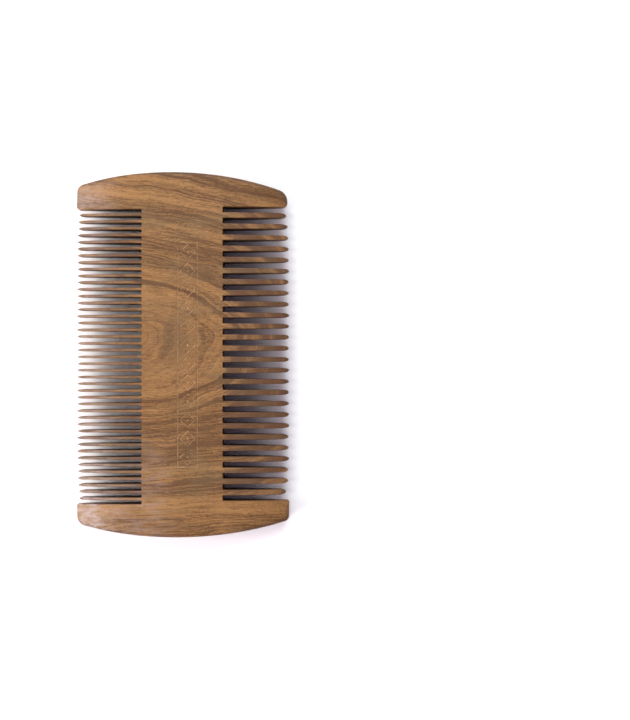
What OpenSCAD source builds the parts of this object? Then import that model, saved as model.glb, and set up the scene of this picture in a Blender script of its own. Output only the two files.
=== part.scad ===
// Double-sided beard comb, cut from one board of wood. Millimetres.
// It lies flat with its wide faces level. +Y runs along the spine, the fine teeth point to -X and
// the coarse teeth to +X. The origin is on the underside, at the middle of the comb's outline.

/* [Board] */
// Length along the spine, over both guards
comb_l = 100; // [95:1:120]
// Width over the tips of both rows
comb_w = 58.4; // [54:0.2:66]
// Thickness of the flat spine
comb_t = 10; // [7:0.5:12]
// Thickness at the tips of the teeth
tip_t = 3.4; // [2.4:0.1:5]
// Width of the spine between the two rows
spine_w = 22.2; // [18:0.2:26]

/* [Guards] */
// Radius of the upper guard's outer arc
upper_r = 95; // [75:1:140]
// How far that arc's crown lies off the middle, towards the fine teeth
upper_shift = 3.2; // [0:0.1:4]
// Radius of the lower guard's outer arc
lower_r = 107.6; // [80:0.2:140]
// How far that arc's crown lies off the middle, towards the fine teeth
lower_shift = 1.7; // [0:0.1:4]
// How far the upper guard's end stops short on the coarse side
upper_inset = 0.5; // [0:0.1:1]

/* [Fine teeth] */
// Number of fine teeth
fine_n = 43; // [20:1:48]
// Spacing of the fine saw cuts
fine_pitch = 1.852; // [1.7:0.002:1.856]
// Width of a fine saw cut at its root
fine_gap = 1.01; // [0.8:0.01:1.1]
// Width of a fine tooth where its point begins
fine_neck = 0.71; // [0.5:0.01:0.75]
// Length of a fine tooth's point
fine_point = 1.5; // [0.8:0.1:3]
// How far the row lies off the middle, towards the lower guard
fine_drop = 0.57; // [0:0.01:1]

/* [Coarse teeth] */
// Number of coarse teeth
coarse_n = 26; // [12:1:28]
// Spacing of the coarse saw cuts
coarse_pitch = 3.035; // [2.8:0.005:3.04]
// Width of a coarse saw cut at its root
coarse_gap = 1.48; // [1.2:0.01:1.6]
// Width of a coarse tooth where its point begins
coarse_neck = 1.36; // [0.9:0.01:1.4]
// Length of a coarse tooth's point
coarse_point = 1.9; // [1.5:0.1:4]
// How far the row lies off the middle, towards the upper guard
coarse_rise = 0.25; // [0:0.01:1]

/* [Ornament] */
// Number of lozenges engraved in a line on the upper face of the spine
lozenge_n = 12; // [1:1:13]
// Spacing of the lozenges
lozenge_pitch = 5.1; // [4:0.1:6]
// Width of a lozenge across the spine
lozenge_w = 4.5; // [3:0.1:6]
// Outer width of the engraved frame round the lozenges
frame_w = 5.6; // [5:0.1:8]
// Outer length of the frame
frame_l = 61.8; // [55:0.1:76]
// Width of an engraved line
line_w = 0.3; // [0.2:0.05:0.5]
// Depth of an engraved line
line_depth = 0.15; // [0.05:0.05:0.4]

/* [Hidden] */
half_w = comb_w / 2;
half_l = comb_l / 2;
root_x = spine_w / 2;
tooth_l = half_w - root_x;
// How far each wide face falls from the spine's edge to the tips
tip_drop = (comb_t - tip_t) / 2;
// Radius of the arc it falls along, which starts level
wing_r = (tooth_l * tooth_l + tip_drop * tip_drop) / (2 * tip_drop);
// Outermost walls of the two rows of saw cuts, which are the guards' inner edges
fine_half = (fine_n * fine_pitch + fine_gap) / 2;
coarse_half = (coarse_n * coarse_pitch + coarse_gap) / 2;
fine_top = fine_half - fine_drop;
fine_bottom = -fine_half - fine_drop;
coarse_top = coarse_half + coarse_rise;
coarse_bottom = -coarse_half + coarse_rise;
// The last tooth at each end of a row is this much shorter than the middle ones
end_short = 0.7;
// How suddenly the teeth shorten towards the ends of their row
end_power = 12;
// Radii of a guard's corners: [outer, inner] at its fine end, then at its coarse end
upper_corners = [[2.2, 1], [3.2, 1.4]];
lower_corners = [[2.6, 0.6], [1.6, 0.7]];
// Steps in a guard's corners, in its outer arc, and along each side of a tooth's point
corner_steps = 6;
crown_steps = 40;
tip_steps = 4;
// The ornament's line lies a little off the middle of the spine, towards the coarse teeth
ornament_x = 1.4;
// Width of a slanting line, measured along a lozenge's length
slant_w = 1.5 * line_w;
// Size of the small lozenge inside each, as a share of the one round it
heart_share = 0.2;
over = 1;

function unit(angle) = [cos(angle), sin(angle)];
function angle_of(v) = atan2(v[1], v[0]);
// Points round an arc, both ends included
function arc_points(centre, r, from, to, steps) =
    [for (i = [0 : steps]) centre + r * unit(from + (to - from) * i / steps)];
// A list without its first and last points
function inner_points(points) = [for (i = [1 : len(points) - 2]) points[i]];
// A tooth's point is half an ellipse: the place at u, from 0 where it begins to 1 at its end
function tip_point(neck, length, point, u) =
    [length - point + u * point, neck / 2 * sqrt(1 - u * u)];

// Cross-section of one wing: level faces at the root that close in towards the tip, drawn to +X
module wing_section() {
    intersection() {
        translate([0, comb_t - wing_r]) circle(wing_r, $fn = 720);
        translate([0, wing_r]) circle(wing_r, $fn = 720);
        translate([0, -over]) square([tooth_l + over, comb_t + 2 * over]);
    }
}

// The whole board's thickness, as a long bar that each outline is cut from
module board() {
    rotate([90, 0, 0]) linear_extrude(comb_l + 2 * over, center = true) {
        translate([-root_x, 0]) square([spine_w, comb_t]);
        translate([root_x, 0]) wing_section();
        mirror([1, 0]) translate([root_x, 0]) wing_section();
    }
}

// Outline of a guard that crowns to +Y, with inner edges at fine_y and coarse_y
module guard_outline(arc_r, arc_shift, left, right, fine_y, coarse_y, corners) {
    arc = [-arc_shift, half_l - arc_r];
    fine_r = corners[0];
    coarse_r = corners[1];
    // Centre of a corner circle at x that touches the outer arc from inside
    function outer_at(x, r) = [x, arc[1] + sqrt(pow(arc_r - r, 2) - pow(x - arc[0], 2))];
    fine_outer = outer_at(left + fine_r[0], fine_r[0]);
    coarse_outer = outer_at(right - coarse_r[0], coarse_r[0]);
    fine_angle = angle_of(fine_outer - arc);
    coarse_angle = angle_of(coarse_outer - arc);
    polygon(concat(
        arc_points([left + fine_r[1], fine_y + fine_r[1]], fine_r[1], 270, 180, corner_steps),
        arc_points(fine_outer, fine_r[0], 180, fine_angle, corner_steps),
        inner_points(arc_points(arc, arc_r, fine_angle, coarse_angle, crown_steps)),
        arc_points(coarse_outer, coarse_r[0], coarse_angle, 0, corner_steps),
        arc_points([right - coarse_r[1], coarse_y + coarse_r[1]], coarse_r[1], 0, -90, corner_steps),
        [[root_x, coarse_y], [-root_x, fine_y]]
    ));
}

// One tooth pointing to +X from its root, narrowing evenly to its neck and then to a rounded point
module tooth_outline(root_w, neck, length, point) {
    side = [for (i = [0 : tip_steps]) tip_point(neck, length, point, i / tip_steps)];
    mirrored = [for (i = [tip_steps - 1 : -1 : 0]) [side[i][0], -side[i][1]]];
    polygon(concat([[0, root_w / 2]], side, mirrored, [[0, -root_w / 2]]));
}

// One row of teeth pointing to +X, centred on Y
module row_outline(n, pitch, gap, neck, point) {
    for (i = [0 : n - 1]) {
        u = 2 * i / (n - 1) - 1;
        translate([0, u * (n - 1) / 2 * pitch])
            tooth_outline(pitch - gap, neck, tooth_l - end_short * pow(u, end_power), point);
    }
}

module lozenge(l, w) {
    polygon([[0, l / 2], [w / 2, 0], [0, -l / 2], [-w / 2, 0]]);
}

// Lozenge outline with a small solid lozenge inside
module ornament_unit() {
    l = lozenge_pitch - 2 * line_w;
    difference() {
        lozenge(l, lozenge_w);
        lozenge(l - 2 * slant_w, lozenge_w - 2 * slant_w * lozenge_w / l);
    }
    lozenge(l * heart_share, lozenge_w * heart_share);
}

// A chain of lozenges along +Y inside a plain frame
module ornament() {
    difference() {
        square([frame_w, frame_l], center = true);
        square([frame_w - 2 * line_w, frame_l - 2 * line_w], center = true);
    }
    for (i = [0 : lozenge_n - 1])
        translate([0, (i - (lozenge_n - 1) / 2) * lozenge_pitch]) ornament_unit();
}

module spine() {
    color("#96704f") difference() {
        linear_extrude(comb_t) polygon([
            [-root_x, fine_bottom], [root_x, coarse_bottom],
            [root_x, coarse_top], [-root_x, fine_top]
        ]);
        translate([ornament_x, 0, comb_t - line_depth]) linear_extrude(line_depth + over)
            ornament();
    }
}

module upper_guard() {
    color("#a27956") intersection() {
        board();
        linear_extrude(comb_t) guard_outline(
            upper_r, upper_shift, -half_w, half_w - upper_inset, fine_top, coarse_top, upper_corners
        );
    }
}

module lower_guard() {
    color("#a57f5f") intersection() {
        board();
        linear_extrude(comb_t) mirror([0, 1]) guard_outline(
            lower_r, lower_shift, -half_w, half_w, -fine_bottom, -coarse_bottom, lower_corners
        );
    }
}

module fine_teeth() {
    color("#b08a68") intersection() {
        board();
        linear_extrude(comb_t) mirror([1, 0]) translate([root_x, -fine_drop])
            row_outline(fine_n, fine_pitch, fine_gap, fine_neck, fine_point);
    }
}

module coarse_teeth() {
    color("#7d5a40") intersection() {
        board();
        linear_extrude(comb_t) translate([root_x, coarse_rise])
            row_outline(coarse_n, coarse_pitch, coarse_gap, coarse_neck, coarse_point);
    }
}

spine();
upper_guard();
lower_guard();
fine_teeth();
coarse_teeth();
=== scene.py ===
"""Double-sided wooden beard comb, lying flat on a pale floor.

The comb is one board of wood. It is modelled as five closed pieces that share their borders point
for point, one for each CAD node: the spine, two guards and two rows of teeth. Lengths in the
functions below are millimetres in the CAD frame, and become metres when a mesh is made.
"""

import math
import random

import bmesh
import bpy
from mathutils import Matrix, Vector
from mathutils.geometry import delaunay_2d_cdt


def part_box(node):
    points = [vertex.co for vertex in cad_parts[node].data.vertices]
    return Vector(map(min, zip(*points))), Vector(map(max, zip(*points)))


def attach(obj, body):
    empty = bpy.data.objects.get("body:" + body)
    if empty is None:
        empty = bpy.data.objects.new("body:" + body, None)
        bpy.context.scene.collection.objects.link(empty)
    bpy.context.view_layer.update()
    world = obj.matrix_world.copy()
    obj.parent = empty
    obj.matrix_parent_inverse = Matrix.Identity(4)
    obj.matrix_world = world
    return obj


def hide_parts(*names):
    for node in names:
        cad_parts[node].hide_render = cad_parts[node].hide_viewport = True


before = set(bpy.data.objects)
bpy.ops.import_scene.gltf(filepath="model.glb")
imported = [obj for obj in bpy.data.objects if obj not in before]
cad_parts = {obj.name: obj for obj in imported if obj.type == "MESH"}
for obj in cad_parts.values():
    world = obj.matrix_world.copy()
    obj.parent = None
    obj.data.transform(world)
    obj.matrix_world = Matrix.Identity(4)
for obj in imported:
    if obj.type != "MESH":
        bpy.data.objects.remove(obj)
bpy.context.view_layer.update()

MM = 0.001


# ------------------------------------------------------------------ places, from the CAD frame
def node_box(name):
    """A node's lowest and highest corners, in millimetres."""
    low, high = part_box(name)
    return low / MM, high / MM


spine_low, spine_high = node_box("spine")
upper_low, upper_high = node_box("upper_guard")
lower_low, lower_high = node_box("lower_guard")
fine_low = node_box("fine_teeth")[0]
coarse_high = node_box("coarse_teeth")[1]

THICKNESS = spine_high.z
FINE_ROOT = spine_low.x
COARSE_ROOT = spine_high.x
FINE_TIP = fine_low.x
COARSE_TIP = coarse_high.x
# The outermost walls of each row's saw cuts. The fine row lies lower than the coarse one.
FINE_TOP = upper_low.y
COARSE_TOP = spine_high.y
FINE_BOTTOM = spine_low.y
COARSE_BOTTOM = lower_high.y

# Sizes that the frame doesn't give, as in the CAD model
TIP_THICKNESS = 3.4
FINE_COUNT = 43
FINE_GAP = 1.01
FINE_NECK = 0.71
FINE_POINT = 1.5
COARSE_COUNT = 26
COARSE_GAP = 1.48
COARSE_NECK = 1.36
COARSE_POINT = 1.9
UPPER_CROWN_RADIUS = 95.0
UPPER_CROWN_X = -3.2
LOWER_CROWN_RADIUS = 107.6
LOWER_CROWN_X = -1.7
# The guards' corner radii beside each row, (outer, inner)
UPPER_FINE_CORNERS = (2.2, 1.0)
UPPER_COARSE_CORNERS = (3.2, 1.4)
LOWER_FINE_CORNERS = (2.6, 0.6)
LOWER_COARSE_CORNERS = (1.6, 0.7)
LOZENGES = 12
LOZENGE_PITCH = 5.1
LOZENGE_WIDTH = 4.5
# Size of the small lozenge inside each, as a share of the one round it
HEART_SHARE = 0.2
FRAME_WIDTH = 5.6
FRAME_LENGTH = 61.8
LINE_WIDTH = 0.3
# Width of a slanting line, measured along a lozenge's length
SLANT_WIDTH = 1.5 * LINE_WIDTH
LINE_DEPTH = 0.15
ORNAMENT_X = 1.4

# Radii of the rounded edges: along the saw cuts, and round the guards inside and outside
TOOTH_EDGE = 0.18
GUARD_INNER_EDGE = 0.2
RIM_EDGE = 1.0
EDGE_STEPS = 3
# Radius in plan of the small corners at a saw cut's inner end
CUT_CORNER = 0.15
CUT_CORNER_STEPS = 3
# Spacing of the points along curved stretches
STATION = 1.1


# ------------------------------------------------------------------ camera
def add_camera():
    """Looks straight down from the photographer's distance, with the comb left of the middle."""
    distance = 0.55
    seen_height = 0.1967
    middle_x = 0.0363
    middle_y = -0.00145
    data = bpy.data.cameras.new("camera")
    data.sensor_width = 36.0
    data.lens = data.sensor_width * distance / seen_height
    data.clip_start = 0.01
    data.clip_end = 20.0
    camera = bpy.data.objects.new("camera", data)
    camera.location = (middle_x, middle_y, THICKNESS * MM + distance)
    bpy.context.scene.collection.objects.link(camera)
    bpy.context.scene.camera = camera


add_camera()


# ------------------------------------------------------------------ the board's shape
def wing_radius(root, tip):
    """Radius of the arc by which each wide face falls from a root to the tips, starting level."""
    run = abs(tip - root)
    drop = (THICKNESS - TIP_THICKNESS) / 2
    return (run * run + drop * drop) / (2 * drop)


FINE_ARC = wing_radius(FINE_ROOT, lower_low.x)
COARSE_ARC = wing_radius(COARSE_ROOT, lower_high.x)


def board_top(x):
    """Height of the upper face at x, and its slope along x."""
    if x < FINE_ROOT:
        run, radius, side = FINE_ROOT - x, FINE_ARC, 1.0
    elif x > COARSE_ROOT:
        run, radius, side = x - COARSE_ROOT, COARSE_ARC, -1.0
    else:
        return THICKNESS, 0.0
    across = math.sqrt(radius * radius - run * run)
    return THICKNESS - radius + across, side * run / across


class Shell:
    """The points and faces of one closed piece, with the normals that its smooth faces have.

    row is 1 on a row of teeth, which the wood's colour depends on, and 0 elsewhere.
    """

    def __init__(self, row=0.0):
        self.row = row
        self.points = []
        self.normals = []
        self.edge_middle = []
        self.mark = []
        self.faces = []
        self.flat = []

    def point(self, place, normal, edge_middle=0.0, mark=0.0):
        self.points.append(Vector(place))
        self.normals.append(Vector(normal).normalized())
        self.edge_middle.append(edge_middle)
        self.mark.append(mark)
        return len(self.points) - 1

    def face(self, corners, flat=False):
        kept = [c for i, c in enumerate(corners) if c != corners[i - 1]]
        if len(kept) > 2:
            self.faces.append(kept)
            self.flat.append(flat)

    def piece(self, name, material):
        """Makes the mesh object, with all faces turned outwards."""
        mesh = bpy.data.meshes.new(name)
        mesh.from_pydata([place * MM for place in self.points], [], self.faces)
        turned = bmesh.new()
        turned.from_mesh(mesh)
        bmesh.ops.recalc_face_normals(turned, faces=turned.faces)
        turned.to_mesh(mesh)
        turned.free()
        normals = []
        for face, flat in zip(mesh.polygons, self.flat, strict=True):
            face.use_smooth = True
            normals.extend(face.normal if flat else self.normals[i] for i in face.vertices)
        mesh.normals_split_custom_set(normals)
        rows = [self.row] * len(self.points)
        for label, values in (("edge_middle", self.edge_middle), ("mark", self.mark), ("row", rows)):
            mesh.attributes.new(label, "FLOAT", "POINT").data.foreach_set("value", values)
        mesh.materials.append(material)
        made = bpy.data.objects.new(name, mesh)
        bpy.context.scene.collection.objects.link(made)
        return made


class Column:
    """A point of the comb's outline in plan, and how the edge is rounded above and below it.

    inward is the way the rounding goes into the wood, and outward is the wall's normal. nose is
    how far the wide faces fall here on top of the board's own shape, and its slope along x.
    """

    def __init__(self, x, y, inward, edge, outward=None, nose=(0.0, 0.0)):
        self.x = x
        self.y = y
        self.inward = Vector(inward)
        self.edge = edge
        self.outward = Vector(outward).normalized() if outward else -self.inward.normalized()
        self.nose = nose

    def levels(self):
        """Places and normals from the upper face, over the rounded edge, to the wall."""
        found = []
        for step in range(EDGE_STEPS + 1):
            angle = math.pi / 2 * (1 - step / EDGE_STEPS)
            inset = self.edge * (1 - math.cos(angle))
            x = self.x + self.inward.x * inset
            y = self.y + self.inward.y * inset
            top, slope = board_top(x)
            z = top - self.nose[0] - self.edge * (1 - math.sin(angle))
            up = Vector((-(slope - self.nose[1]), 0, 1)).normalized() * math.sin(angle)
            out = self.outward.to_3d() * math.cos(angle)
            # 1 at the middle of the rounded edge and 0 at its ends; the wood is darker and rougher
            # there
            edge_middle = math.sin(2 * angle)
            found.append(((x, y, z), up + out, edge_middle))
        return found

    def add_to(self, shell):
        """Adds the column's points to a shell, from its top to its bottom, and returns them."""
        above = self.levels()
        ids = [shell.point(place, normal, edge_middle) for place, normal, edge_middle in above]
        for (x, y, z), normal, edge_middle in reversed(above):
            ids.append(shell.point((x, y, THICKNESS - z), (normal.x, normal.y, -normal.z), edge_middle))
        return ids


def add_wall(shell, left, right):
    """Joins two columns' points by a strip from top to bottom."""
    for level in range(len(left) - 1):
        shell.face([left[level], left[level + 1], right[level + 1], right[level]])


def add_cut(shell, *columns):
    """Closes a piece where it was cut from the board: across one column's edge, or between two."""
    if len(columns) == 1:
        shell.face(columns[0], flat=True)
    else:
        shell.face(columns[0] + columns[1][::-1], flat=True)


def add_seam(shell, left, right):
    """Closes a piece along a straight cut between the inner ends of two columns' edges."""
    shell.face([left[0], right[0], right[-1], left[-1]], flat=True)


def cover(shell, rim, places, lines=(), under=False):
    """Fills a wide face inside a ring of points with triangles.

    places are further points (x, y, depth, mark) of that face, and lines are pairs of them that
    triangles don't cross.
    """
    ids = list(rim)
    sunk = set()
    for x, y, depth, mark in places:
        top, slope = board_top(x)
        z = top - depth
        up = (-slope, 0, 1)
        if under:
            z = THICKNESS - z
            up = (-slope, 0, -1)
        ids.append(shell.point((x, y, z), up, 0.0, mark))
        if depth:
            sunk.add(ids[-1])
    flat_points = [shell.points[i].to_2d() for i in ids]
    edges = [(len(rim) + a, len(rim) + b) for a, b in lines]
    inside_only = 1
    made = delaunay_2d_cdt(flat_points, edges, [list(range(len(rim)))], inside_only, 1e-6)
    triangles, sources = made[2], made[3]
    for triangle in triangles:
        corners = [ids[sources[i][0]] for i in triangle]
        shell.face(corners, flat=not sunk.isdisjoint(corners))


# ------------------------------------------------------------------ teeth
# Over the last stretch before the tip, the wide faces close in by a further drop
NOSE_LENGTH = 1.3
NOSE_DROP = 0.9
# Where points lie along a tooth's rounded point, as shares of its length
POINT_SHARES = (0.15, 0.3, 0.45, 0.58, 0.7, 0.8, 0.88, 0.94, 0.98)
# A rounded edge takes at most this share of half the tooth's width
SIDE_EDGE_SHARE = 0.5
TIP_EDGE_SHARE = 0.4
# The last teeth of a row are shorter by this, and the power says how suddenly
END_SHORT = 0.7
END_POWER = 12
# How the teeth differ: tips short by this, necks and points longer or shorter by these factors,
# and tips to one side by this
TIP_SHORT = (0.0, 0.22)
NECK_FACTOR = (0.95, 1.05)
POINT_FACTOR = (0.85, 1.2)
LEAN = (-0.05, 0.05)
# The power of a point's outline: half an ellipse at 0.5, and sharper above
FINE_BLUNTNESS = (0.5, 0.75)
COARSE_BLUNTNESS = (0.4, 0.52)


class Tooth:
    """One tooth: side is -1 on the fine row and 1 on the coarse row."""

    def __init__(self, side, y, root_half, neck_half, tip_x, point, lean, bluntness):
        self.side = side
        self.y = y
        self.root_half = root_half
        self.neck_half = neck_half
        self.root_x = COARSE_ROOT if side > 0 else FINE_ROOT
        self.length = abs(tip_x - self.root_x)
        self.point = point
        self.lean = lean
        self.bluntness = bluntness

    def middle(self, along):
        return self.y + self.lean * (along / self.length) ** 2

    def half(self, along):
        """Half the width at a distance from the root: an even taper, then the rounded point."""
        straight = self.length - self.point
        if along <= straight:
            share = along / straight
            return self.root_half + (self.neck_half - self.root_half) * share
        share = min((along - straight) / self.point, 1.0)
        return self.neck_half * (1 - share**2) ** self.bluntness

    def nose(self, along):
        """How far the wide faces close in at the tip, seen from the side, and the slope along x."""
        into = 1 - (self.length - along) / NOSE_LENGTH
        if into <= 0:
            return 0.0, 0.0
        rise = math.sqrt(max(1 - into**2, 0.0))
        # Held up, so that the slope stays finite at the tip itself
        held = max(rise, math.sqrt(1e-3))
        slope = NOSE_DROP / NOSE_LENGTH * into / held
        return NOSE_DROP * (1 - rise), self.side * slope

    def stations(self):
        """Distances from the root of the points along each side, short of the tip."""
        straight = self.length - self.point
        steps = math.ceil((straight - CUT_CORNER) / STATION)
        body = [CUT_CORNER + (straight - CUT_CORNER) * i / steps for i in range(steps + 1)]
        return body + [straight + self.point * share for share in POINT_SHARES]

    def column(self, along, upward):
        """The column on the side that faces +Y (upward 1) or -Y (upward -1)."""
        x = self.root_x + self.side * along
        y = self.middle(along) + upward * self.half(along)
        step = 0.01
        rise = self.middle(along + step) - self.middle(along - step)
        rise += upward * (self.half(along + step) - self.half(along - step))
        slope = rise / (2 * step) if along > CUT_CORNER else 0.0
        outward = (-upward * slope * self.side, upward)
        edge = min(TOOTH_EDGE, SIDE_EDGE_SHARE * self.half(along))
        return Column(x, y, (0, -upward), edge, outward, self.nose(along))

    def add_to(self, shell):
        stations = self.stations()
        upper = [self.column(along, 1).add_to(shell) for along in stations]
        lower = [self.column(along, -1).add_to(shell) for along in stations]
        x = self.root_x + self.side * self.length
        y = self.middle(self.length)
        edge = TIP_EDGE_SHARE * self.half(stations[-1])
        tip = Column(x, y, (-self.side, 0), edge, nose=self.nose(self.length)).add_to(shell)
        add_cut(shell, upper[0], lower[0])
        upper.append(tip)
        lower.append(tip)
        for i in range(len(stations)):
            add_wall(shell, upper[i], upper[i + 1])
            add_wall(shell, lower[i], lower[i + 1])
            for end in (0, -1):
                shell.face([upper[i][end], upper[i + 1][end], lower[i + 1][end], lower[i][end]])


def row_of_teeth(side, count, top, bottom, gap, neck, point, bluntness, tip_x, seed):
    """One row's teeth from top to bottom, each a little different as hand finishing leaves it."""
    dice = random.Random(seed)
    pitch = (top - bottom - gap) / count
    teeth = []
    for i in range(count):
        place = 2 * i / (count - 1) - 1
        y = top - gap / 2 - pitch * (i + 0.5)
        short = END_SHORT * place**END_POWER + dice.uniform(*TIP_SHORT)
        teeth.append(
            Tooth(
                side,
                y,
                (pitch - gap) / 2,
                neck / 2 * dice.uniform(*NECK_FACTOR),
                tip_x - side * short,
                point * dice.uniform(*POINT_FACTOR),
                dice.uniform(*LEAN),
                dice.uniform(*bluntness),
            )
        )
    return teeth


def teeth_shell(teeth):
    shell = Shell(row=1.0)
    for tooth in teeth:
        tooth.add_to(shell)
    return shell


# ------------------------------------------------------------------ spine
def cut_end(side, top, bottom):
    """Columns round the inner end of one saw cut, from its upper wall to its lower wall."""
    root = COARSE_ROOT if side > 0 else FINE_ROOT
    x = root + side * CUT_CORNER
    upper_centre = Vector((x, top - CUT_CORNER))
    lower_centre = Vector((x, bottom + CUT_CORNER))
    quarter = [math.pi / 2 * i / CUT_CORNER_STEPS for i in range(CUT_CORNER_STEPS + 1)]
    turns = [(upper_centre, (-side * math.sin(a), math.cos(a))) for a in quarter]
    turns += [(lower_centre, (-side * math.cos(a), -math.sin(a))) for a in quarter]
    columns = []
    for centre, inward in turns:
        x, y = centre + CUT_CORNER * Vector(inward)
        columns.append(Column(x, y, inward, TOOTH_EDGE))
    return columns


def cut_ends(side, teeth, top, bottom):
    """The inner ends of a row's saw cuts, from top to bottom."""
    uppers = [top] + [tooth.y - tooth.root_half for tooth in teeth]
    lowers = [tooth.y + tooth.root_half for tooth in teeth] + [bottom]
    return [cut_end(side, upper, lower) for upper, lower in zip(uppers, lowers, strict=True)]


def ornament():
    """Points and lines of the engraved frame and its chain of lozenges, as cover() takes them."""
    places = []
    lines = []

    def add_ring(corners, sunk):
        first = len(places)
        depth, mark = (LINE_DEPTH, 1.0) if sunk else (0.0, 0.0)
        places.extend((ORNAMENT_X + x, y, depth, mark) for x, y in corners)
        lines.extend((first + k, first + (k + 1) % 4) for k in range(4))

    bevel = LINE_WIDTH / 5
    for inset, sunk in (
        (0.0, False),
        (bevel, True),
        (LINE_WIDTH - bevel, True),
        (LINE_WIDTH, False),
    ):
        x = FRAME_WIDTH / 2 - inset
        y = FRAME_LENGTH / 2 - inset
        add_ring(((x, y), (x, -y), (-x, -y), (-x, y)), sunk)

    half_length = (LOZENGE_PITCH - 2 * LINE_WIDTH) / 2
    line = SLANT_WIDTH / half_length
    bevel = line / 4
    rings = (
        (1.0, False),
        (1.0 - bevel, True),
        (1.0 - line + bevel, True),
        (1.0 - line, False),
        (HEART_SHARE, False),
        (HEART_SHARE - bevel, True),
    )
    for i in range(LOZENGES):
        middle = (i - (LOZENGES - 1) / 2) * LOZENGE_PITCH
        for size, sunk in rings:
            x = size * LOZENGE_WIDTH / 2
            y = size * half_length
            add_ring(((0, middle + y), (x, middle), (0, middle - y), (-x, middle)), sunk)
    return places, lines


def spine_shell(fine, coarse):
    shell = Shell()
    left = [
        [column.add_to(shell) for column in cut]
        for cut in cut_ends(-1, fine, FINE_TOP, FINE_BOTTOM)
    ]
    right = [
        [column.add_to(shell) for column in cut]
        for cut in cut_ends(1, coarse, COARSE_TOP, COARSE_BOTTOM)
    ]
    for cuts in (left, right):
        for cut in cuts:
            for one, other in zip(cut, cut[1:]):
                add_wall(shell, one, other)
        for cut, below in zip(cuts, cuts[1:]):
            add_cut(shell, cut[-1], below[0])
        add_cut(shell, cuts[0][0])
        add_cut(shell, cuts[-1][-1])
    add_seam(shell, left[0][0], right[0][0])
    add_seam(shell, left[-1][-1], right[-1][-1])
    down = [column for cut in left for column in cut]
    up = [column for cut in right for column in cut][::-1]
    places, lines = ornament()
    cover(shell, [column[0] for column in down + up], places, lines)
    cover(shell, [column[-1] for column in down + up], [], under=True)
    return shell


# ------------------------------------------------------------------ guards
# The edge's rounding grows from the inner side over this distance
RIM_BLEND = 3.0
# A rounded edge takes at most this share of a corner's radius in plan
CORNER_EDGE_SHARE = 0.8
INNER_CORNER_STEPS = 6
OUTER_CORNER_STEPS = 8


def angle_of(direction):
    """A direction's angle in plan from +X, in degrees."""
    return math.degrees(direction.angle_signed(Vector((1, 0))))


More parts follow.
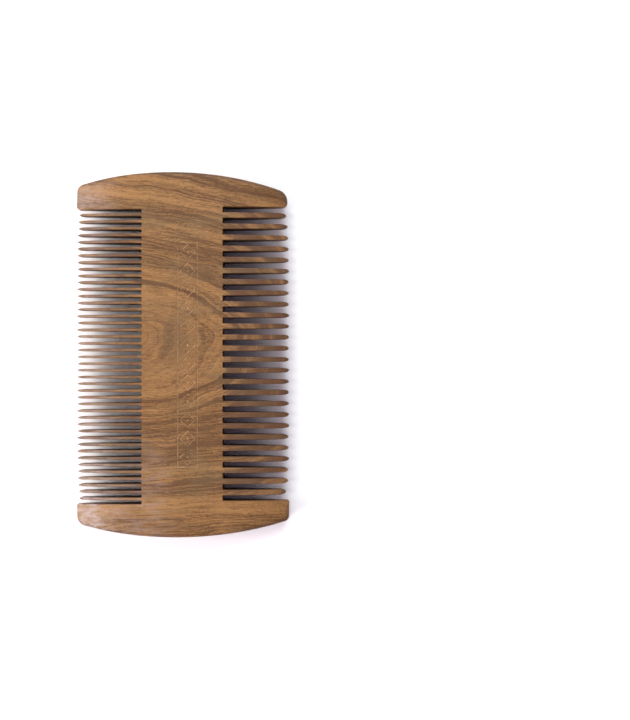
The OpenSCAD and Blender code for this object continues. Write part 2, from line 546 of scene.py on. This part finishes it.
class Guard:
    """One end guard. way is 1 where it crowns to +Y and -1 where it crowns to -Y.

    Its outline is worked out as if it crowned to +Y. Corner radii are (outer, inner).
    """

    def __init__(self, way, low, high, fine_y, coarse_y, crown_r, crown_x, fine_r, coarse_r):
        self.way = way
        self.left = low.x
        self.right = high.x
        self.fine_y = fine_y * way
        self.coarse_y = coarse_y * way
        top = high.y if way > 0 else -low.y
        self.crown = Vector((crown_x, top - crown_r))
        self.crown_r = crown_r
        self.fine_r = fine_r
        self.coarse_r = coarse_r
        self.seam_left = Vector((FINE_ROOT - CUT_CORNER, self.fine_y))
        self.seam_right = Vector((COARSE_ROOT + CUT_CORNER, self.coarse_y))

    def outer_centre(self, x, radius):
        """Centre of a corner circle at x that touches the crown's arc from inside."""
        across = x - self.crown.x
        return Vector((x, self.crown.y + math.sqrt((self.crown_r - radius) ** 2 - across**2)))

    def edge(self, y, inner_y, plan_radius):
        """The edge's rounding grows from the sawn inner side to the outer side."""
        share = min(max((y - inner_y) / RIM_BLEND, 0.0), 1.0)
        share = share * share * (3 - 2 * share)
        wanted = GUARD_INNER_EDGE + (RIM_EDGE - GUARD_INNER_EDGE) * share
        return min(wanted, CORNER_EDGE_SHARE * plan_radius)

    def column(self, place, inward, inner_y, plan_radius=math.inf):
        at_seam = min((place - seam).length for seam in (self.seam_left, self.seam_right)) < 1e-6
        edge = TOOTH_EDGE if at_seam else self.edge(place.y, inner_y, plan_radius)
        return Column(place.x, place.y * self.way, (inward.x, inward.y * self.way), edge)

    def line(self, start, end, inward, inner_y):
        steps = max(math.ceil((end - start).length / STATION), 1)
        places = [start.lerp(end, i / steps) for i in range(steps + 1)]
        return [self.column(place, inward, inner_y) for place in places]

    def arc(self, centre, radius, start, end, inner_y, steps):
        columns = []
        for i in range(steps + 1):
            angle = math.radians(start + (end - start) * i / steps)
            out = Vector((math.cos(angle), math.sin(angle)))
            columns.append(self.column(centre + radius * out, -out, inner_y, radius))
        return columns

    def outline(self):
        """Columns from the fine row's last saw cut, round the guard, to the coarse row's."""
        fine_outer, fine_inner = self.fine_r
        coarse_outer, coarse_inner = self.coarse_r
        fine_centre = self.outer_centre(self.left + fine_outer, fine_outer)
        coarse_centre = self.outer_centre(self.right - coarse_outer, coarse_outer)
        fine_angle = angle_of(fine_centre - self.crown)
        coarse_angle = angle_of(coarse_centre - self.crown)
        inner_left = Vector((self.left + fine_inner, self.fine_y + fine_inner))
        inner_right = Vector((self.right - coarse_inner, self.coarse_y + coarse_inner))
        crown_steps = math.ceil(math.radians(fine_angle - coarse_angle) * self.crown_r / STATION)
        steps_in, steps_out = INNER_CORNER_STEPS, OUTER_CORNER_STEPS
        up, right, left = Vector((0, 1)), Vector((1, 0)), Vector((-1, 0))
        low_left = Vector((inner_left.x, self.fine_y))
        side_left = Vector((self.left, inner_left.y))
        top_left = Vector((self.left, fine_centre.y))
        top_right = Vector((self.right, coarse_centre.y))
        side_right = Vector((self.right, inner_right.y))
        low_right = Vector((inner_right.x, self.coarse_y))
        fine_y, coarse_y = self.fine_y, self.coarse_y
        stretches = [
            self.line(self.seam_left, low_left, up, fine_y),
            self.arc(inner_left, fine_inner, 270, 180, fine_y, steps_in),
            self.line(side_left, top_left, right, fine_y),
            self.arc(fine_centre, fine_outer, 180, fine_angle, fine_y, steps_out),
            self.arc(self.crown, self.crown_r, fine_angle, coarse_angle, coarse_y, crown_steps),
            self.arc(coarse_centre, coarse_outer, coarse_angle, 0, coarse_y, steps_out),
            self.line(top_right, side_right, left, coarse_y),
            self.arc(inner_right, coarse_inner, 0, -90, coarse_y, steps_in),
            self.line(low_right, self.seam_right, up, coarse_y),
        ]
        columns = stretches[0]
        for stretch in stretches[1:]:
            columns += stretch[1:]
        return columns

    def shell(self):
        shell = Shell()
        columns = [column.add_to(shell) for column in self.outline()]
        for one, other in zip(columns, columns[1:]):
            add_wall(shell, one, other)
        add_cut(shell, columns[0])
        add_cut(shell, columns[-1])
        add_seam(shell, columns[0], columns[-1])
        rim = [column[0] for column in columns]
        places = self.inner_places([shell.points[i].to_2d() for i in rim])
        cover(shell, rim, places)
        cover(shell, [column[-1] for column in columns], places, under=True)
        return shell

    def inner_places(self, rim):
        """A net of points over the two curved wings of a wide face, clear of its rim."""
        places = []
        low = min(place.y for place in rim)
        high = max(place.y for place in rim)
        for root, tip in ((FINE_ROOT, self.left), (COARSE_ROOT, self.right)):
            across = math.ceil(abs(tip - root) / STATION)
            for i in range(across):
                x = root + (tip - root) * i / across
                for k in range(1, math.ceil((high - low) / STATION)):
                    place = Vector((x, low + k * STATION))
                    if inside(place, rim) and all((place - p).length > STATION / 2 for p in rim):
                        places.append((x, place.y, 0.0, 0.0))
        return places


def inside(place, loop):
    """Whether a point in plan lies inside a closed outline."""
    crossings = 0
    for a, b in zip(loop, loop[1:] + loop[:1]):
        if (a.y > place.y) != (b.y > place.y):
            if place.x < a.x + (b.x - a.x) * (place.y - a.y) / (b.y - a.y):
                crossings += 1
    return crossings % 2 == 1


# ------------------------------------------------------------------ wood
def srgb(red, green, blue):
    """A colour given in 8-bit display values, as the linear colour that shaders use."""
    linear = []
    for value in (red, green, blue):
        share = value / 255
        linear.append(share / 12.92 if share <= 0.04045 else ((share + 0.055) / 1.055) ** 2.4)
    return (*linear, 1.0)


class Graph:
    """Builds a material: each method adds a shader node and gives back its output."""

    def __init__(self, material):
        material.use_nodes = True
        self.tree = material.node_tree
        self.shader = self.tree.nodes["Principled BSDF"]

    def add(self, kind, inputs, **settings):
        node = self.tree.nodes.new(kind)
        for name, value in settings.items():
            setattr(node, name, value)
        for socket, value in inputs.items():
            self.join(node.inputs[socket], value)
        return node

    def join(self, socket, value):
        if isinstance(value, bpy.types.NodeSocket):
            self.tree.links.new(value, socket)
        else:
            socket.default_value = value

    def math(self, operation, a, b=0.0, c=0.0):
        return self.add("ShaderNodeMath", {0: a, 1: b, 2: c}, operation=operation).outputs[0]

    def product(self, a, b):
        return self.math("MULTIPLY", a, b)

    def minus(self, a, b):
        return self.math("SUBTRACT", a, b)

    def square(self, value):
        return self.math("POWER", value, 2.0)

    def sum(self, *terms):
        """Adds up (value, weight) pairs."""
        total = 0.0
        for value, weight in terms:
            total = self.math("MULTIPLY_ADD", value, weight, total)
        return total

    def attribute(self, name):
        """A value that the mesh stores at its points."""
        return self.add("ShaderNodeAttribute", {}, attribute_name=name).outputs["Fac"]

    def place(self, x, y, z):
        return self.add("ShaderNodeCombineXYZ", {0: x, 1: y, 2: z}).outputs[0]

    def stretched(self, parts, sizes, shift=0.0):
        """The place divided by a feature's size along each direction, then shifted."""
        return self.place(
            *(self.math("MULTIPLY_ADD", p, 1 / size, shift) for p, size in zip(parts, sizes))
        )

    def noise(self, place, detail=2.0, roughness=0.5):
        """Soft noise between -0.5 and 0.5, with features about one unit in size."""
        inputs = {"Vector": place, "Scale": 1.0, "Detail": detail, "Roughness": roughness}
        value = self.add("ShaderNodeTexNoise", inputs).outputs[0]
        return self.minus(value, 0.5)

    def texture(self, parts, sizes, shift=0.0, detail=2.0, roughness=0.5):
        """Noise with features of the given sizes. The shift picks another sample of it."""
        return self.noise(self.stretched(parts, sizes, shift), detail, roughness)

    def step(self, value, low, high):
        """0 below low, 1 above high, and smooth between them."""
        inputs = {"Value": value, "From Min": low, "From Max": high}
        node = self.add("ShaderNodeMapRange", inputs, interpolation_type="SMOOTHSTEP")
        return node.outputs[0]

    def bands(self, depth, shades):
        """A smooth curve through (growth, shade) pairs."""
        node = self.add("ShaderNodeValToRGB", {0: self.math("DIVIDE", depth, BAND_DEPTH)})
        ramp = node.color_ramp
        ramp.interpolation = "EASE"
        for i, (place, shade) in enumerate(shades):
            stop = ramp.elements[0] if i == 0 else ramp.elements.new(place / BAND_DEPTH)
            stop.position = place / BAND_DEPTH
            stop.color = (shade, shade, shade, 1)
        ramp.elements.remove(ramp.elements[-1])
        return self.add("ShaderNodeRGBToBW", {0: node.outputs[0]}).outputs[0]

    def mix(self, share, a, b):
        node = self.add("ShaderNodeMix", {}, data_type="RGBA", clamp_factor=True)
        for socket, value in ((node.inputs[0], share), (node.inputs[6], a), (node.inputs[7], b)):
            self.join(socket, value)
        return node.outputs[2]


# The growth, in millimetres, at which the curves below end
BAND_DEPTH = 36.0
# How dark the wood is, 0 to 1, against the growth, on the upper and the lower half
UPPER_BANDS = (
    (0.0, 0.29), (2.4, 0.29), (3.8, 0.2), (4.4, 0.3), (4.85, 1.1), (5.15, 0.15), (6.8, 0.25),
    (7.8, 0.95), (9.0, 0.35), (10.2, 0.65), (12.0, 0.7), (13.0, 0.3), (14.0, 0.5), (15.1, 0.1),
    (16.4, 0.65), (17.7, 0.75), (18.8, 0.5), (20.5, 0.0), (22.3, 0.4), (24.1, 0.1), (26.1, 0.9),
    (28.0, 0.3), (31.0, 0.5),
)
LOWER_BANDS = (
    (0.0, 0.29), (2.0, 0.26), (3.8, 0.18), (4.75, 0.32), (5.1, 1.15), (5.4, 0.4), (6.6, 0.35),
    (7.5, 0.45), (8.5, 0.85), (9.2, 0.5), (10.2, 0.75), (11.6, 0.5), (13.0, 0.8), (14.7, 0.85),
    (16.2, 0.45), (17.7, 0.2), (19.5, 0.45), (21.7, 0.7), (24.5, 0.02), (27.4, 0.15), (28.7, 0.5),
    (30.8, 0.5), (32.0, 0.4), (34.0, 0.5),
)
# The log's middle line, in millimetres, and how fast it bends away from the board
LOG_X = -22.15
LOG_Y = 3.5
LOG_Z = -20.0
LOG_BEND = 0.00334
# How much faster the rings close in on the coarse teeth, by the square of the distance
COARSE_CLOSING = 0.02
# Middle and size of the smoky patch on the spine
SMOKE_X = -2.5
SMOKE_Y = 3.5
SMOKE_SIZE = 6.0
# Angle of the rays' strokes to the grain, and how closely they lie along and across themselves
RAY_ANGLE = -0.6
RAY_SCALE = (0.8, 3.6, 1.0)
GOLD = srgb(139, 99, 54)
BROWN = srgb(81, 49, 14)
GREY = srgb(100, 84, 54)
FLECK = srgb(153, 121, 78)
# The colour of the painted sheen on the guards' ends beside the fine teeth
SHEEN_PALE = srgb(152, 132, 124)
# The colour of the painted shade on the teeth
TEETH_SHADE = srgb(84, 62, 46)
SMOKE = srgb(90, 66, 38)
CUT_LINE = srgb(162, 129, 93)


def growth_rings(graph, parts, row):
    """The growth at a place, in millimetres, and how dark the wood is there.

    The growth rings are tubes round the log's middle line, which lies below the board and bends.
    The growth is counted from the upper face straight above that line.
    """
    x, y, z = parts
    slow_bend = graph.texture(parts, (16, 9, 9), detail=1.0)
    quick_bend = graph.texture(parts, (5, 2.2, 2.2), 7.0)
    along = graph.minus(x, LOG_X)
    across = graph.minus(y, LOG_Y)
    above = graph.minus(z, LOG_Z)
    radius = graph.math("SQRT", graph.sum((graph.square(across), 1.0), (graph.square(above), 1.0)))
    # Towards the lower guard they run straighter along the grain
    bend = graph.square(along)
    straight = graph.product(graph.step(across, -8.0, -26.0), 0.75)
    unbent = graph.minus(LOG_X**2, bend)
    bend = graph.math("MULTIPLY_ADD", straight, unbent, bend)
    depth = graph.sum((radius, 1.0), (bend, LOG_BEND), (slow_bend, 2.2), (quick_bend, 0.5))
    # On the coarse teeth they close in faster
    beyond = graph.math("MAXIMUM", graph.minus(x, COARSE_ROOT), 0.0)
    closing = graph.product(row, graph.square(beyond))
    depth = graph.sum((closing, COARSE_CLOSING), (graph.minus(depth, THICKNESS - LOG_Z), 1.0))
    upper = graph.step(across, -1.0, 1.0)
    rings = graph.mix(upper, graph.bands(depth, LOWER_BANDS), graph.bands(depth, UPPER_BANDS))
    return depth, rings


def rays(graph, parts):
    """Short slanting strokes where the saw met the rays, and the patches where they show."""
    slant = graph.add("ShaderNodeVectorRotate", {"Vector": graph.place(*parts), "Angle": RAY_ANGLE})
    inputs = {0: slant.outputs[0], 1: RAY_SCALE}
    scaled = graph.add("ShaderNodeVectorMath", inputs, operation="MULTIPLY")
    strokes = graph.noise(scaled.outputs[0])
    patch = graph.step(graph.texture(parts, (12, 8, 8), 23.0, detail=1.0), 0.0, 0.15)
    return strokes, patch


def painted_sheen(graph, parts, dull, fibres):
    """How far the wood is painted pale, as a painted sheen.

    It is in patches on the guards' ends beside the fine teeth, where they slope towards the key
    light, and less at the spine's low end.
    """
    x, y, _ = parts
    patches = graph.texture(parts, (5.0, 1.4, 1.4), 63.0, 3.0, 0.6)
    sheen_patches = graph.step(graph.sum((patches, 1.0), (dull, 0.8), (fibres, 0.5)), -0.22, 0.28)
    share = graph.sum((graph.step(y, 0.0, -40.0), 0.3), (0.5, 1.0))
    ends = graph.product(graph.step(x, -15.0, -26.0), share)
    low = graph.product(graph.step(x, 1.0, -10.0), graph.step(y, -18.0, -36.0))
    return graph.product(sheen_patches, graph.math("MULTIPLY_ADD", low, 0.3, ends))


def smokiness(graph, parts, *rough):
    """How smoky the patch beside the middle of the spine is. rough breaks up its edge."""
    x, y, _ = parts
    aside = graph.square(graph.math("DIVIDE", graph.minus(x, SMOKE_X), SMOKE_SIZE))
    beside = graph.square(graph.math("DIVIDE", graph.minus(y, SMOKE_Y), SMOKE_SIZE))
    return graph.product(graph.step(graph.sum((aside, 1.0), (beside, 1.0), *rough), 1.3, -0.2), 0.6)


def wood_material():
    """Brown hardwood with its grain along the teeth, growth rings, pores and rays, and a wax sheen.

    Textures take the sizes of their features in millimetres, along the grain and then across it.
    """
    material = bpy.data.materials.new("board_wood")
    graph = Graph(material)
    here = graph.add("ShaderNodeTexCoord", {}).outputs["Object"]
    split = graph.add("ShaderNodeSeparateXYZ", {0: here}).outputs
    parts = [graph.math("DIVIDE", split[i], MM) for i in range(3)]
    x, y, z = parts
    row = graph.attribute("row")
    edge_middle = graph.attribute("edge_middle")
    mark = graph.attribute("mark")
    depth, rings = growth_rings(graph, parts, row)

    # Streaks, wisps, hairs and veins follow the rings
    ringwise = (x, depth, z)
    streaks = graph.texture(ringwise, (38, 0.8, 8), 0.0, 3.0, 0.55)
    wisps = graph.texture(ringwise, (14, 0.32, 4), 40.0, 3.0, 0.6)
    hairs = graph.texture(ringwise, (22, 0.16, 3), 80.0)
    veins = graph.texture(ringwise, (45, 1.2, 10), 60.0, 3.0)
    veins = graph.step(graph.math("ABSOLUTE", veins), 0.035, 0.0)
    veins = graph.product(veins, graph.step(rings, 0.05, 0.5))
    strength = graph.math("MULTIPLY_ADD", graph.step(depth, 3.0, 6.0), 0.6, 0.4)
    figure = graph.product(graph.sum((streaks, 1.1), (wisps, 0.6), (hairs, 1.4)), strength)

    # The rest follows the grain
    fibres = graph.texture(parts, (2.6, 0.24, 0.24), 3.0, 3.0, 0.65)
    grain = graph.texture(parts, (0.6, 0.3, 0.3), 91.0)
    mottle = graph.texture(parts, (9, 3.5, 3.5), 11.0, 3.0)
    dull = graph.texture(parts, (5, 0.5, 0.7), 37.0, 3.0, 0.6)
    pores = graph.step(graph.texture(parts, (1.6, 0.17, 0.17), 5.0, 1.0), 0.14, 0.22)
    flecks = graph.step(graph.texture(parts, (0.9, 0.25, 0.25), 17.0, 1.0), 0.2, 0.28)
    greyness = graph.step(graph.texture(parts, (15, 7, 7), 31.0), -0.05, 0.25)
    dust = graph.sum((graph.texture(parts, (2, 1, 1), 51.0, 3.0), 2.4), (0.6, 1.0))
    strokes, ray_patch = rays(graph, parts)

    # Painted shade: the teeth are painted darker and greyer from just beyond their roots
    away = graph.step(graph.math("ABSOLUTE", x), COARSE_ROOT, COARSE_ROOT + 2.0)
    teeth_shade_mask = graph.product(row, away)
    dark = graph.sum(
        (rings, 0.8),
        (figure, 1.0),
        (fibres, 1.7),
        (mottle, 0.6),
        (pores, 0.4),
        (veins, 0.6),
        (graph.product(strokes, ray_patch), 1.3),
        (graph.step(x, -8.0, 9.0), 0.12),
        (grain, 0.8),
        # darker on the rounded edges
        (edge_middle, 0.35),
        # painted shade on the teeth: their rings and figure darker
        (graph.product(teeth_shade_mask, rings), 0.5),
        (graph.product(teeth_shade_mask, figure), 0.7),
        (0.14, 1.0),
    )
    smoke = smokiness(graph, parts, (mottle, 4.0), (fibres, 3.0), (strokes, 3.0))
    colour = graph.mix(dark, GOLD, BROWN)
    for share, other in (
        (graph.product(greyness, 0.3), GREY),
        # painted sheen, in patches on the guards' ends beside the fine teeth
        (painted_sheen(graph, parts, dull, fibres), SHEEN_PALE),
        # painted shade on the teeth
        (graph.product(teeth_shade_mask, 0.25), TEETH_SHADE),
        (smoke, SMOKE),
        (graph.product(flecks, 0.4), FLECK),
        (graph.product(mark, dust), CUT_LINE),
    ):
        colour = graph.mix(share, colour, other)
    graph.join(graph.shader.inputs["Base Color"], colour)

    roughness = graph.sum((fibres, 0.25), (pores, 0.2), (dull, 0.6), (edge_middle, 0.15), (0.5, 1.0))
    graph.join(graph.shader.inputs["Roughness"], roughness)
    height = graph.sum((fibres, 0.5), (streaks, 0.3), (pores, -0.8))
    bump = graph.add("ShaderNodeBump", {"Height": height, "Distance": 0.00005, "Strength": 0.9})
    graph.join(graph.shader.inputs["Normal"], bump.outputs[0])
    graph.shader.inputs["Coat Weight"].default_value = 0.05
    graph.shader.inputs["Specular IOR Level"].default_value = 0.36
    graph.shader.inputs["Coat Roughness"].default_value = 0.4
    return material


# ------------------------------------------------------------------ making the comb
wood = wood_material()
fine_teeth = row_of_teeth(
    side=-1,
    count=FINE_COUNT,
    top=FINE_TOP,
    bottom=FINE_BOTTOM,
    gap=FINE_GAP,
    neck=FINE_NECK,
    point=FINE_POINT,
    bluntness=FINE_BLUNTNESS,
    tip_x=FINE_TIP,
    seed=3,
)
coarse_teeth = row_of_teeth(
    side=1,
    count=COARSE_COUNT,
    top=COARSE_TOP,
    bottom=COARSE_BOTTOM,
    gap=COARSE_GAP,
    neck=COARSE_NECK,
    point=COARSE_POINT,
    bluntness=COARSE_BLUNTNESS,
    tip_x=COARSE_TIP,
    seed=5,
)
upper_guard = Guard(
    way=1,
    low=upper_low,
    high=upper_high,
    fine_y=FINE_TOP,
    coarse_y=COARSE_TOP,
    crown_r=UPPER_CROWN_RADIUS,
    crown_x=UPPER_CROWN_X,
    fine_r=UPPER_FINE_CORNERS,
    coarse_r=UPPER_COARSE_CORNERS,
)
lower_guard = Guard(
    way=-1,
    low=lower_low,
    high=lower_high,
    fine_y=FINE_BOTTOM,
    coarse_y=COARSE_BOTTOM,
    crown_r=LOWER_CROWN_RADIUS,
    crown_x=LOWER_CROWN_X,
    fine_r=LOWER_FINE_CORNERS,
    coarse_r=LOWER_COARSE_CORNERS,
)
shells = {
    "spine": spine_shell(fine_teeth, coarse_teeth),
    "upper_guard": upper_guard.shell(),
    "lower_guard": lower_guard.shell(),
    "fine_teeth": teeth_shell(fine_teeth),
    "coarse_teeth": teeth_shell(coarse_teeth),
}
for node, shell in shells.items():
    piece = shell.piece("comb_" + node, wood)
    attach(piece, "root")
    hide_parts(node)


# ------------------------------------------------------------------ floor and light
FLOOR_HALF = 1.3
FLOOR_COLOUR = (0.925, 0.92, 0.92, 1)
# The background turns from its horizon colour to its overhead one between these heights
HORIZON_END = 0.1
OVERHEAD_START = 0.7


def add_floor():
    mesh = bpy.data.meshes.new("floor")
    half = FLOOR_HALF
    corners = [(-half, -half, 0), (half, -half, 0), (half, half, 0), (-half, half, 0)]
    mesh.from_pydata(corners, [], [(0, 1, 2, 3)])
    material = bpy.data.materials.new("floor_white")
    material.use_nodes = True
    shader = material.node_tree.nodes["Principled BSDF"]
    shader.inputs["Base Color"].default_value = FLOOR_COLOUR
    shader.inputs["Roughness"].default_value = 0.9
    mesh.materials.append(material)
    floor = bpy.data.objects.new("floor", mesh)
    bpy.context.scene.collection.objects.link(floor)


def add_softbox(name, place, size, power, colour):
    """A square soft light that faces the comb."""
    data = bpy.data.lights.new(name, "AREA")
    data.shape = "SQUARE"
    data.size = size
    data.energy = power
    data.color = colour
    light = bpy.data.objects.new(name, data)
    light.location = place
    light.rotation_euler = Vector(place).to_track_quat("Z", "Y").to_euler()
    bpy.context.scene.collection.objects.link(light)


def set_world(overhead, horizon, strength):
    """Even light from all round, with one colour overhead and another at the horizon."""
    world = bpy.data.worlds.new("studio")
    world.use_nodes = True
    nodes, links = world.node_tree.nodes, world.node_tree.links
    split = nodes.new("ShaderNodeSeparateXYZ")
    links.new(nodes.new("ShaderNodeTexCoord").outputs["Generated"], split.inputs[0])
    height = nodes.new("ShaderNodeMapRange")
    height.interpolation_type = "SMOOTHSTEP"
    height.inputs["From Min"].default_value = HORIZON_END
    height.inputs["From Max"].default_value = OVERHEAD_START
    links.new(split.outputs["Z"], height.inputs["Value"])
    mix = nodes.new("ShaderNodeMix")
    mix.data_type = "RGBA"
    mix.inputs[6].default_value = (*horizon, 1)
    mix.inputs[7].default_value = (*overhead, 1)
    links.new(height.outputs[0], mix.inputs[0])
    links.new(mix.outputs[2], nodes["Background"].inputs["Color"])
    nodes["Background"].inputs["Strength"].default_value = strength
    bpy.context.scene.world = world


add_floor()
add_softbox("key", place=(-0.63, -0.20, 0.43), size=0.55, power=9.2, colour=(1.0, 0.98, 0.96))
add_softbox("fill", place=(0.03, 0.55, 0.66), size=0.6, power=7.3, colour=(0.9, 1.0, 0.95))
set_world(overhead=(0.94, 0.76, 1.0), horizon=(1.2, 1.18, 1.22), strength=0.54)
bpy.context.scene.view_settings.view_transform = "Standard"
